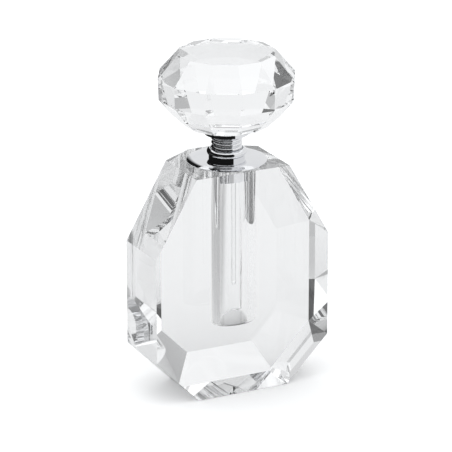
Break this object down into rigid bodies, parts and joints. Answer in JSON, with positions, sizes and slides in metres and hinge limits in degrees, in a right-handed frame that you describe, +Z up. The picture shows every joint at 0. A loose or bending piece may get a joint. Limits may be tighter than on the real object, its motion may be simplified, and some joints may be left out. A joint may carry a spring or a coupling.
{
  "type": "perfume bottle",
  "caption": "Cut crystal perfume bottle with a chrome collar, a faceted screw-in stopper and a glass dabber rod inside its drilled well.",
  "frame": {"origin": "centre of the footprint of the whole object, on the plane it stands on", "axes": "+Z up along the neck axis, -Y out of the large flat octagonal front face, +X to the viewer's right of that face"},
  "size_m": [0.0688, 0.0486, 0.1252],
  "materials": {
    "crystal": "polished, clear",
    "stone_crystal": "polished, clear",
    "rod_glass": "polished, clear",
    "chrome": "polished",
    "screw_chrome": "polished",
    "washer_rubber": "matt",
    "plug_plastic": "matt"
  },
  "bodies": {
    "bottle": {"crystal_body": "crystal", "collar_flange": "chrome", "collar_ring": "chrome", "collar_sleeve": "chrome"},
    "seal": {"seal_washer": "washer_rubber"},
    "stopper": {"stopper_screw": "screw_chrome", "rod_plug": "plug_plastic", "dabber_rod": "rod_glass", "crystal_stopper": "stone_crystal"}
  },
  "joints": [
    {"name": "stopper_lift", "type": "slide", "parent": "bottle", "child": "seal", "axis": [0, 0, 1], "range_m": [0, 0.06]},
    {"name": "stopper_turn", "type": "hinge", "parent": "seal", "child": "stopper", "pos_m": [0, 0, 0.09], "axis": [0, 0, 1], "range_deg": [0, 900]}
  ]
}
